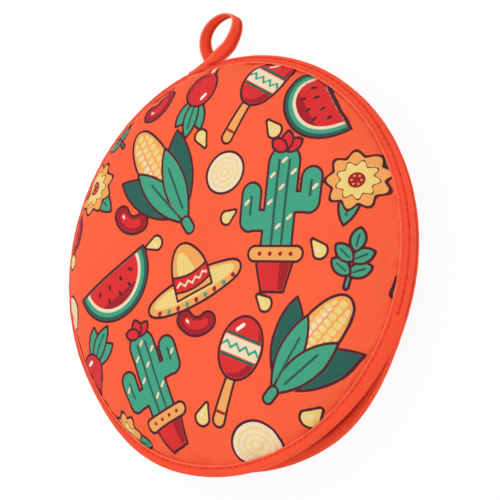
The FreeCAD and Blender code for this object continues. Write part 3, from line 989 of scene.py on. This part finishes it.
# where the painted shade of the crease between the two bound edges lies
CREASE_SHADE_START = 0.4           # the painted shade of the crease between the discs starts this far round the fold
CREASE_SHADE_EASE = 0.25
CREASE_W = 2.0 * MM


def rounding(d):
    """0 at the folded lip, rising as a quarter circle to 1."""
    return np.sqrt(1.0 - (1.0 - np.clip(d / LIP_ROUND, 0.0, 1.0)) ** 2)


def bound_edge(name, panel):
    """Closed tape round one disc. Outer skin: down the cover side, round the fold and back along
    the lining side. Inner skin: the same way back, against the layers."""
    half, middle = TAPE_T / 2.0, EDGE_T / 2.0
    reach = middle + LAY_GAP + TAPE_T        # from the middle of the edge to the tape's outside
    angle = (np.arange(SECTIONS) * 360.0 / SECTIONS)[:, None]
    legs = TAPE_LEG * (1.0 - np.cos(np.linspace(0.0, math.pi, LEG_POINTS))) / 2.0
    fold = np.linspace(0.0, math.pi, FOLD_POINTS + 2)[1:-1]
    inside = (CORE_R - LIP_R) * np.linspace(0.0, 1.0, INNER_POINTS)
    cover_depth = -(LAY_GAP + half + (half + tape_relief(legs, angle)) * rounding(legs))
    lining_depth = EDGE_T + LAY_GAP + half + (half + lining_relief(legs, angle)) * rounding(legs)
    fold_depth = middle - reach * np.cos(fold)
    fold_depth = fold_depth - tape_relief(TAPE_LEG, angle) * (1.0 + np.cos(fold)) / 2.0
    fold_depth = fold_depth + lining_relief(TAPE_LEG, angle) * (1.0 - np.cos(fold)) / 2.0
    inner_lining = EDGE_T + LAY_GAP + half - half * rounding(inside) + 0.0 * angle
    inner_cover = -(LAY_GAP + half - half * rounding(inside)) + 0.0 * angle
    from_lip = np.concatenate([legs, TAPE_LEG + (LAY_GAP + TAPE_T + EDGE_ROUND) * np.sin(fold), legs[::-1],
                               inside[1:], inside[:0:-1]])
    depths = np.concatenate([cover_depth, fold_depth, lining_depth[:, ::-1],
                             inner_lining[:, 1:], inner_cover[:, :0:-1]], 1)
    points = panel.shape(LIP_R + from_lip, angle, depths)
    points[..., 2] = np.maximum(points[..., 2], 0.0)         # the lower lip lies flat on the table
    profile = np.stack([from_lip, depths[0]], -1)
    across = length_along(profile)
    cloth_xy = np.stack(np.broadcast_arrays(np.radians(angle) * LIP_R, across), -1)
    quads = grid_quads(*points.shape[:2], round_rows=True, round_columns=True)
    made = add_mesh(name, points, [quads], cloth_xy)
    from_lip = np.broadcast_to(from_lip, depths.shape)
    seam, edge, pull = groove_shares(from_lip, angle)
    under = (depths - middle) / reach        # -1 on the cover side, 1 on the lining side
    # painted shade along the crease between the two bound edges and at the stitch ends in the grooves
    crease = sewn_share(angle) * smooth((under - CREASE_SHADE_START) / CREASE_SHADE_EASE)
    crease = crease * smooth((from_lip - TAPE_LEG + CREASE_W) / CREASE_W)
    on_cover = under < 0.0
    pinched_and_shaded = on_cover * (seam + edge) * (0.15 + pull) + crease
    # painted highlight along the tape's lip on its cover side, uneven round the rim
    mark_painted_light(made, np.where(on_cover, from_lip, NO_FOLD), pinched_and_shaded, wander(angle, 23, 61, 1.0))
    return made


# %% Both bound edges
front_tape = bound_edge("front_binding_tape", FRONT)
back_tape = bound_edge("back_binding_tape", BACK)
finish_piece(front_tape, tape_cloth, ("front_binding", "front_binding_flap"), AT_MOUTH)
finish_piece(back_tape, tape_cloth, ("back_binding",))

# %% [markdown]
# ## Stitches
# A stitch row could be a dashed texture, but real stitches catch the light and dip into the cloth at
# both ends. Each one here is a short rope of 26 small faces, and a whole row is one mesh.

# %% One row of stitches
STITCH_RINGS = 5
STITCH_SIDES = 6
STITCH_RISE = 0.3            # of its thickness, how far the middle of a stitch stands up
STITCH_TAPER = 0.5           # of its width, lost at each end


def stitch_row(name, centres, along, up, length, thickness, dip):
    """Many stitches in one mesh. Each runs along its direction for its length, its spine
    rising 0.3 of its thickness and sinking by dip s^4 towards its ends at s = -1 and 1."""
    s = np.linspace(-1.0, 1.0, STITCH_RINGS)
    side = np.cross(up, along)
    spine = (centres[:, None] + along[:, None] * (s * length / 2.0)[None, :, None]
             + up[:, None] * (STITCH_RISE * thickness - dip * s**4)[None, :, None])
    turn = np.arange(STITCH_SIDES) * 2.0 * math.pi / STITCH_SIDES
    ring = (np.cos(turn)[None, :, None] * side[:, None] + np.sin(turn)[None, :, None] * up[:, None])
    width = thickness / 2.0 * (1.0 - STITCH_TAPER * s**4)
    points = spine[:, :, None] + ring[:, None] * width[None, :, None, None]
    per_stitch = STITCH_RINGS * STITCH_SIDES
    firsts = (np.arange(len(centres)) * per_stitch)[:, None, None]
    quads = (grid_quads(STITCH_RINGS, STITCH_SIDES, round_columns=True)[None] + firsts).reshape(-1, 4)
    caps = np.stack([np.arange(STITCH_SIDES), per_stitch - 1 - np.arange(STITCH_SIDES)])
    caps = (caps[None] + firsts).reshape(-1, STITCH_SIDES)
    one_cloth_xy = np.stack(np.broadcast_arrays((s * length / 2.0)[:, None], turn * thickness / 2.0), -1)
    made = add_mesh(name, points, [quads, caps], np.broadcast_to(one_cloth_xy, points.shape[:3] + (2,)))
    print(name, len(centres), "stitches")
    return made


# %% Lay a row on the tape
UNEVEN = 0.06 * MM           # how much higher or lower one stitch lies than the next
LINING_SINK = 0.1 * MM       # how much deeper the thread lies on the lining side
SMALL_TURN = 0.05            # degrees, and a small lift, over which directions are measured
SMALL_LIFT = 0.2 * MM


def on_surface(surface, angles):
    """Places on a surface of the angle, with the directions along the row and out of the cloth."""
    uneven = UNEVEN * (np.sin(2.4 * angles) + np.sin(0.9 * angles))
    centres = surface(uneven, angles)
    along = unit(surface(0.0, angles + SMALL_TURN) - surface(0.0, angles - SMALL_TURN))
    out = surface(uneven + SMALL_LIFT, angles) - centres
    return centres, along, unit(out - (out * along).sum(-1, keepdims=True) * along)


def cover_row(panel, inset):
    """The surface that a row of stitches on a tape's cover side follows."""
    return lambda lift, angle: tape_surface(panel, inset, angle, lift)


def lining_row(panel, inset):
    """The same on the tape's lining side."""
    skin = EDGE_T + LAY_GAP + TAPE_T - LINING_SINK
    return lambda lift, angle: panel.shape(LIP_R + inset, angle, skin + lining_relief(inset, angle) + lift)


# %% Where each row runs
STITCH_PITCH = 360.0 / STITCHES_ROUND
all_round = np.arange(STITCHES_ROUND) * STITCH_PITCH
seam_angles = all_round[from_loop(all_round) <= SEWN_HALF_ARC - SEAM_END_BACK]
mouth_angles = all_round[180.0 - from_loop(all_round) <= MOUTH_HALF_ARC]
print(len(seam_angles), "stitches in the joining seam,", len(mouth_angles), "in the mouth")

# %% Edge stitching and joining seam
SEAM_STITCH = (3.5 * MM, 0.55 * MM, 0.5 * MM)      # length, thickness and dip of a stitch
EDGE_STITCH = (3.7 * MM, 0.34 * MM, 0.25 * MM)
front_row = on_surface(cover_row(FRONT, EDGE_INSET), all_round)
back_row = on_surface(lining_row(BACK, EDGE_INSET), mouth_angles)
seam_sides = [on_surface(cover_row(panel, SEAM_INSET), seam_angles) for panel in (FRONT, BACK)]
seam_rows = [np.concatenate(part) for part in zip(*seam_sides)]
front_edge_stitches = stitch_row("front_edge_stitches", *front_row, *EDGE_STITCH)
back_edge_stitches = stitch_row("back_edge_stitches", *back_row, *EDGE_STITCH)
seam_stitches = stitch_row("joining_seam_stitches", *seam_rows, *SEAM_STITCH)
finish_piece(front_edge_stitches, edge_thread,
             ("front_binding_thread", "front_binding_flap_thread"), AT_MOUTH)
finish_piece(back_edge_stitches, edge_thread, ("back_binding_thread",))
finish_piece(seam_stitches, seam_thread, ("joining_seam",))

# %% [markdown]
# ## Hanging loop
# The loop is the binding tape's own tail: it leaves the front edge, turns over in the air and comes
# back behind, where the joining seam catches it. A torus would look wrong, because flat tape twists
# as it bends. So the middle line is a teardrop formula, and the tape's width leans out of the
# loop's plane towards the far end.

# %% Sizes of the loop
LOOP_LENGTH = 34.5 * MM
LOOP_SPREAD = 17.0 * MM
LOOP_PARTING = 2.8 * MM
LOOP_LEAN = 10.0 * MM
LOOP_TAPE_W = 10.8 * MM
LOOP_TAPE_T = 1.3 * MM
LEG_GAP = 0.3 * MM
LOOP_LAYER = (LOOP_TAPE_T + LEG_GAP) / 2.0
LEG_CUT = math.radians(12.0) # turn of the drop left out at each leg
LEAD_ANGLE = 98.5            # where on the rim the tape starts to leave the binding
LEAD_D = 4.0 * MM            # its middle line there, from the binding's lip
LEAD_STEPS = 40
DROP_STEPS = 160
TAIL_STEPS = 12
TAIL_RUN = 8.0 * MM          # how far the back leg runs on between the two bound edges


# %% The loop's middle line, seen from above
def teardrop(a):
    """x = spread sin(a) sin(a/2) + parting cos(a/2) + lean s, y = rim + length s, with
    s = (1 - cos a) / 2: a drop whose end leans to the right."""
    out = (1.0 - np.cos(a)) / 2.0
    across = LOOP_SPREAD * np.sin(a) * np.sin(a / 2.0) + LOOP_PARTING * np.cos(a / 2.0)
    return np.stack([across + LOOP_LEAN * out, DISC_R + LOOP_LENGTH * out], -1)


def eased_run(start, start_run, end, end_run, count):
    """Hermite curve in the plane between two points with given directions of travel."""
    t = np.linspace(0.0, 1.0, count, endpoint=False)[:, None]
    return ((2 * t**3 - 3 * t**2 + 1) * start + (t**3 - 2 * t**2 + t) * start_run
            + (3 * t**2 - 2 * t**3) * end + (t**3 - t**2) * end_run)


bends = np.linspace(LEG_CUT, 2.0 * math.pi - LEG_CUT, DROP_STEPS)
drop = teardrop(bends)
lead_turn = math.radians(LEAD_ANGLE)
lead_start = (LIP_R + LEAD_D) * np.array([math.cos(lead_turn), math.sin(lead_turn)])
lead_length = np.linalg.norm(drop[0] - lead_start)
lead_run = np.array([math.sin(lead_turn), -math.cos(lead_turn)]) * lead_length
lead = eased_run(lead_start, lead_run, drop[0], unit(drop[1] - drop[0]) * lead_length, LEAD_STEPS)
tail = drop[-1] + unit(drop[-1] - drop[-2]) * np.linspace(0.0, TAIL_RUN, TAIL_STEPS + 1)[1:, None]
flat_line = np.concatenate([lead, drop, tail])
lead_share = np.concatenate([np.linspace(0.0, 1.0, LEAD_STEPS), np.ones(DROP_STEPS + TAIL_STEPS)])
turn_share = np.concatenate([np.zeros(LEAD_STEPS), bends / (2.0 * math.pi), np.ones(TAIL_STEPS)])
print("the loop's middle line is", round(length_along(flat_line)[-1] / MM, 1), "mm long from above")

# %% Height and turn of the loop's tape
BAND_LEAN = math.atan(BAND_SLOPE)
FREE_FROM = 2.5 * MM         # how far inside the rim the front leg starts to sink
FRONT_EASE = 14.0 * MM       # length over which it sinks from the binding to the loop's plane
LEAD_RISE = 0.95             # of the loop tape's thickness, how far its middle lies over the binding
LEAD_EMERGED = 0.45          # share of the lead over which the leg comes out of the binding
LEAD_SINK = 1.4 * MM         # how deep in the binding the leg starts
LEAD_NARROW = 0.16           # share of its width that the leg lacks there
LEAN_KEPT = 0.15 / 1.15      # share of the lead that keeps the binding's slope
TURN_EASE = 0.12             # how much faster the tape turns near its legs


def loop_frames():
    """Middle line of the tape, its directions of run, width and thickness, and its width.
    The width leans with the binding at first, then turns over by 180 (t + 0.12 sin 2 pi t)."""
    away = np.hypot(*flat_line.T)
    free = smooth((away - DISC_R + FREE_FROM) / FRONT_EASE)
    emerged = smooth(lead_share / LEAD_EMERGED)
    on_band = FRONT.height(np.minimum(away + FRONT_SEWN_TUCK, CORE_R), LOOP_ANGLE) + LAY_GAP + TAPE_T
    on_band = on_band + LEAD_RISE * LOOP_TAPE_T - LEAD_SINK * (1.0 - emerged)
    plane = SEAM_HEIGHT + LOOP_LAYER * np.cos(math.pi * turn_share)
    z = np.where(turn_share < 0.5, on_band * (1.0 - free) + plane * free, plane)
    middle = np.concatenate([flat_line, z[:, None]], 1)
    run = unit(np.gradient(middle, axis=0))
    flat_wide = unit(np.cross(run, np.array([0.0, 0.0, 1.0])))
    turned = -math.pi * (turn_share + TURN_EASE * np.sin(2.0 * math.pi * turn_share))
    turned = turned + BAND_LEAN * (1.0 - smooth((lead_share - LEAN_KEPT) / (1.0 - LEAN_KEPT)))
    turned = turned[:, None]
    wide = unit(flat_wide * np.cos(turned) + np.cross(flat_wide, run) * np.sin(turned))
    return middle, run, wide, unit(np.cross(run, wide)), LOOP_TAPE_W * (1.0 - LEAD_NARROW * (1.0 - emerged))


loop_middle, loop_run, loop_wide, loop_thick, loop_width = loop_frames()
loop_place = length_along(loop_middle)
print("loop tape", round(loop_place[-1] / MM, 1), "mm long")

# %% Section of the loop's tape
LOOP_SIDES = 20
LOOP_FLATNESS = 0.35         # powers of cosine and sine: the lower, the squarer the section
LOOP_ROUNDNESS = 0.6
LOOP_STITCH_INSET = 1.7 * MM
LOOP_STITCH_PITCH = 4.0 * MM
LOOP_SWELL = 0.5             # of its thickness, beside the row of stitches
LOOP_PINCH = 0.75            # and in that row
LOOP_PINCH_W = 0.6 * MM
LOOP_RIPPLE = 0.10           # from stitch to stitch
TAIL_THIN = 0.55             # share of its thickness that the tail loses between the bound edges
TAIL_THIN_FROM = TAIL_STEPS + 6              # steps from the end
TAIL_THIN_STEPS = 8


def loop_tape():
    """Folded tape: a flat rounded section, swollen beside its row of edge stitches, carried along."""
    turn = np.arange(LOOP_SIDES) * 2.0 * math.pi / LOOP_SIDES
    across = np.sign(np.cos(turn)) * np.abs(np.cos(turn)) ** LOOP_FLATNESS
    over = np.sign(np.sin(turn)) * np.abs(np.sin(turn)) ** LOOP_ROUNDNESS
    from_edge = LOOP_TAPE_W / 2.0 * (1.0 - across)
    swollen = np.clip((from_edge - LOOP_STITCH_INSET) / (LOOP_TAPE_W - LOOP_STITCH_INSET), 0.0, 1.0)
    pinched_and_shaded = np.exp(-(((from_edge - LOOP_STITCH_INSET) / LOOP_PINCH_W) ** 2))
    fatness = 1.0 + LOOP_SWELL * np.sin(math.pi * swollen) - LOOP_PINCH * pinched_and_shaded
    count = len(loop_middle)
    in_tail = smooth((np.arange(count) - (count - TAIL_THIN_FROM)) / TAIL_THIN_STEPS)
    half_t = LOOP_TAPE_T / 2.0 * (1.0 - TAIL_THIN * in_tail)
    half_t = half_t * (1.0 + LOOP_RIPPLE * np.sin(2.0 * math.pi * loop_place / LOOP_STITCH_PITCH))
    points = (loop_middle[:, None] + loop_wide[:, None] * (loop_width[:, None] * across / 2.0)[..., None]
              + loop_thick[:, None] * (half_t[:, None] * over * fatness)[..., None])
    cloth_xy = np.stack(np.broadcast_arrays(loop_place[:, None], across * LOOP_TAPE_W / 2.0), -1)
    last_ring = (count - 1) * LOOP_SIDES
    caps = np.stack([np.arange(LOOP_SIDES), last_ring + np.arange(LOOP_SIDES)[::-1]])
    made = add_mesh("hanging_loop_tape", points,
                    [grid_quads(count, LOOP_SIDES, round_columns=True), caps], cloth_xy)
    from_fold = np.minimum(from_edge, LOOP_TAPE_W - from_edge)
    # painted highlight along the tape's folded edges and painted shade in its row of stitches
    mark_painted_light(made, *(np.broadcast_to(share, points.shape[:2]) for share in (from_fold, pinched_and_shaded)))
    return made


# %% The loop's edge stitching
LOOP_STITCH = (2.9 * MM, 0.4 * MM, 0.3 * MM)       # length, thickness and dip
LOOP_STITCHES_FROM = 12.0 * MM                     # from the tape's start
LOOP_STITCHES_END = 4.0 * MM                       # from the tail
LOOP_STITCH_LIFT = 0.62                            # of half the tape's thickness


def loop_stitches():
    """Edge stitching on both faces of the loop's tape."""
    places = np.arange(LOOP_STITCHES_FROM, loop_place[-1] - TAIL_RUN - LOOP_STITCHES_END, LOOP_STITCH_PITCH)

    def at(values):
        return np.stack([np.interp(places, loop_place, values[:, k]) for k in range(3)], -1)

    along, out = unit(at(loop_run)), unit(at(loop_thick))
    line = at(loop_middle) + unit(at(loop_wide)) * (LOOP_TAPE_W / 2.0 - LOOP_STITCH_INSET)
    lift = out * LOOP_TAPE_T / 2.0 * LOOP_STITCH_LIFT
    return stitch_row("loop_edge_stitches", np.concatenate([line + lift, line - lift]),
                      np.tile(along, (2, 1)), np.concatenate([out, -out]), *LOOP_STITCH)


# %% Make the loop
LOOP_BEND = 13.5 * MM        # tape over which the loop would bend away from the rim; nothing here bends it
AT_LOOP = {"body_b": "loop", "start": Vector((0.0, DISC_R, SEAM_HEIGHT)),
           "end": Vector((0.0, DISC_R + LOOP_BEND, SEAM_HEIGHT))}
loop_piece = loop_tape()
loop_thread = loop_stitches()
finish_piece(loop_piece, tape_cloth, ("hanging_loop",), AT_LOOP)
finish_piece(loop_thread, edge_thread, (), AT_LOOP)

# %% Bar tack that locks the loop's leg
TACK_D = 6.6 * MM            # from the tape's lip
TACK_HALF = 2.4              # degrees
TACK_BARS = 15
TACK_STITCH = (2.4 * MM, 0.5 * MM, 0.3 * MM)
tack_angles = np.linspace(LOOP_ANGLE - TACK_HALF, LOOP_ANGLE + TACK_HALF, TACK_BARS)
tack_centres, tack_along, tack_up = on_surface(cover_row(FRONT, TACK_D), tack_angles)
tack_centres = tack_centres + tack_up * (LOOP_TAPE_T + CORD_SWELL)
bar_tack = stitch_row("loop_bar_tack_stitches", tack_centres, np.cross(tack_up, tack_along), tack_up,
                      *TACK_STITCH)
finish_piece(bar_tack, edge_thread, ("loop_bar_tack",))

# %% [markdown]
# ## Floor, light and camera
# The pouch lies on a plain pale floor under two large soft lamps and a white sky. The floor looks
# white to the camera through its Light Path, and still keeps the object's soft shadow, so no extra
# light is needed on the cloth to get a bright background.


# %% Pale floor
FLOOR_GLOW = 0.92            # share of plain white in the floor that the camera sees
FLOOR_TONE = 0.94
FLOOR_HALF = 3.0             # half the floor's side, in metres
PLAIN_WHITE = (1.0, 1.0, 1.0, 1.0)


def seen_directly(tree):
    """1 for camera, glossy and transmission rays, 0 for the light that falls on things."""
    rays = new_node(tree, "LightPath").outputs
    seen = step(tree, "MAXIMUM", rays["Is Camera Ray"], rays["Is Glossy Ray"])
    return step(tree, "MAXIMUM", seen, rays["Is Transmission Ray"])


def floor_finish():
    """A matt floor that is lifted towards white only where it is seen, not where it lights things."""
    material, tree, shader = new_finish("pale_floor")
    feed(tree, shader, base_color=(FLOOR_TONE, FLOOR_TONE, FLOOR_TONE, 1.0), roughness=0.9)
    glow = new_node(tree, "Emission", color=PLAIN_WHITE)
    mix = new_node(tree, "MixShader")
    lifted = step(tree, "MULTIPLY", seen_directly(tree), FLOOR_GLOW)
    for socket, value in zip(mix.inputs, (lifted, shader.outputs[0], glow.outputs[0])):
        plug(tree, socket, value)
    feed(tree, tree.nodes["Material Output"], surface=mix.outputs[0])
    return material


floor_corners = np.array([(-1, -1, 0), (1, -1, 0), (1, 1, 0), (-1, 1, 0)]) * FLOOR_HALF
floor = add_mesh("floor", floor_corners, [np.arange(4)[None]])
floor.data.materials.append(floor_finish())
print("floor", 2.0 * FLOOR_HALF, "m square")

# %% Sky and lamps
SKY_LIGHT = 0.84
KEY_POWER = 2.38             # watts
FILL_POWER = 1.6
world = bpy.data.worlds.new("soft_sky")
bpy.context.scene.world = world
world.use_nodes = True
sky_tree = world.node_tree
sky_strength = step(sky_tree, "MULTIPLY_ADD", seen_directly(sky_tree), 1.0 - SKY_LIGHT, SKY_LIGHT)
feed(sky_tree, sky_tree.nodes["Background"], color=PLAIN_WHITE, strength=sky_strength)


def soft_lamp(name, place, size, power):
    """A square area lamp that faces the pouch."""
    lamp = bpy.data.lights.new(name, "AREA")
    lamp.size = size
    lamp.energy = power
    made = bpy.data.objects.new(name, lamp)
    made.location = place
    to_pouch = Vector((0.0, 0.0, SEAM_HEIGHT)) - Vector(place)
    made.rotation_euler = to_pouch.to_track_quat("-Z", "Y").to_euler()
    bpy.context.scene.collection.objects.link(made)
    print(name, power, "W,", size, "m wide")


soft_lamp("key_lamp", (-0.7, 0.55, 1.2), 0.7, KEY_POWER)
soft_lamp("fill_lamp", (0.45, -0.15, 1.2), 0.6, FILL_POWER)

# %% Camera
CAMERA_AZIMUTH = math.radians(-24.3)     # from +X towards +Y
CAMERA_HEIGHT = math.radians(53.0)
CAMERA_ROLL = math.radians(74.3)
CAMERA_DISTANCE = 1.0
LENS_MM = 100.15
SENSOR_MM = 36.0
AIM_RIGHT = 14.0 * MM                    # the picture's middle, from the pouch's middle
AIM_UP = 7.4 * MM

towards = Vector((math.cos(CAMERA_HEIGHT) * math.cos(CAMERA_AZIMUTH),
                  math.cos(CAMERA_HEIGHT) * math.sin(CAMERA_AZIMUTH), math.sin(CAMERA_HEIGHT)))
level_right = Vector((-math.sin(CAMERA_AZIMUTH), math.cos(CAMERA_AZIMUTH), 0.0))
level_up = towards.cross(level_right)
right = level_right * math.cos(CAMERA_ROLL) - level_up * math.sin(CAMERA_ROLL)
up = level_right * math.sin(CAMERA_ROLL) + level_up * math.cos(CAMERA_ROLL)
target = Vector((0.0, 0.0, SEAM_HEIGHT))
eye = target + towards * CAMERA_DISTANCE
aim = target + right * AIM_RIGHT + up * AIM_UP
back = (eye - aim).normalized()
right = up.cross(back).normalized()
up = back.cross(right)
lens = bpy.data.cameras.new("camera")
lens.lens = LENS_MM
lens.sensor_width = SENSOR_MM
camera = bpy.data.objects.new("camera", lens)
camera.matrix_world = Matrix.Translation(eye) @ Matrix((right, up, back)).transposed().to_4x4()
bpy.context.scene.collection.objects.link(camera)
bpy.context.scene.camera = camera
bpy.context.scene.view_settings.view_transform = "Standard"
print("camera at", [round(v, 3) for v in eye])
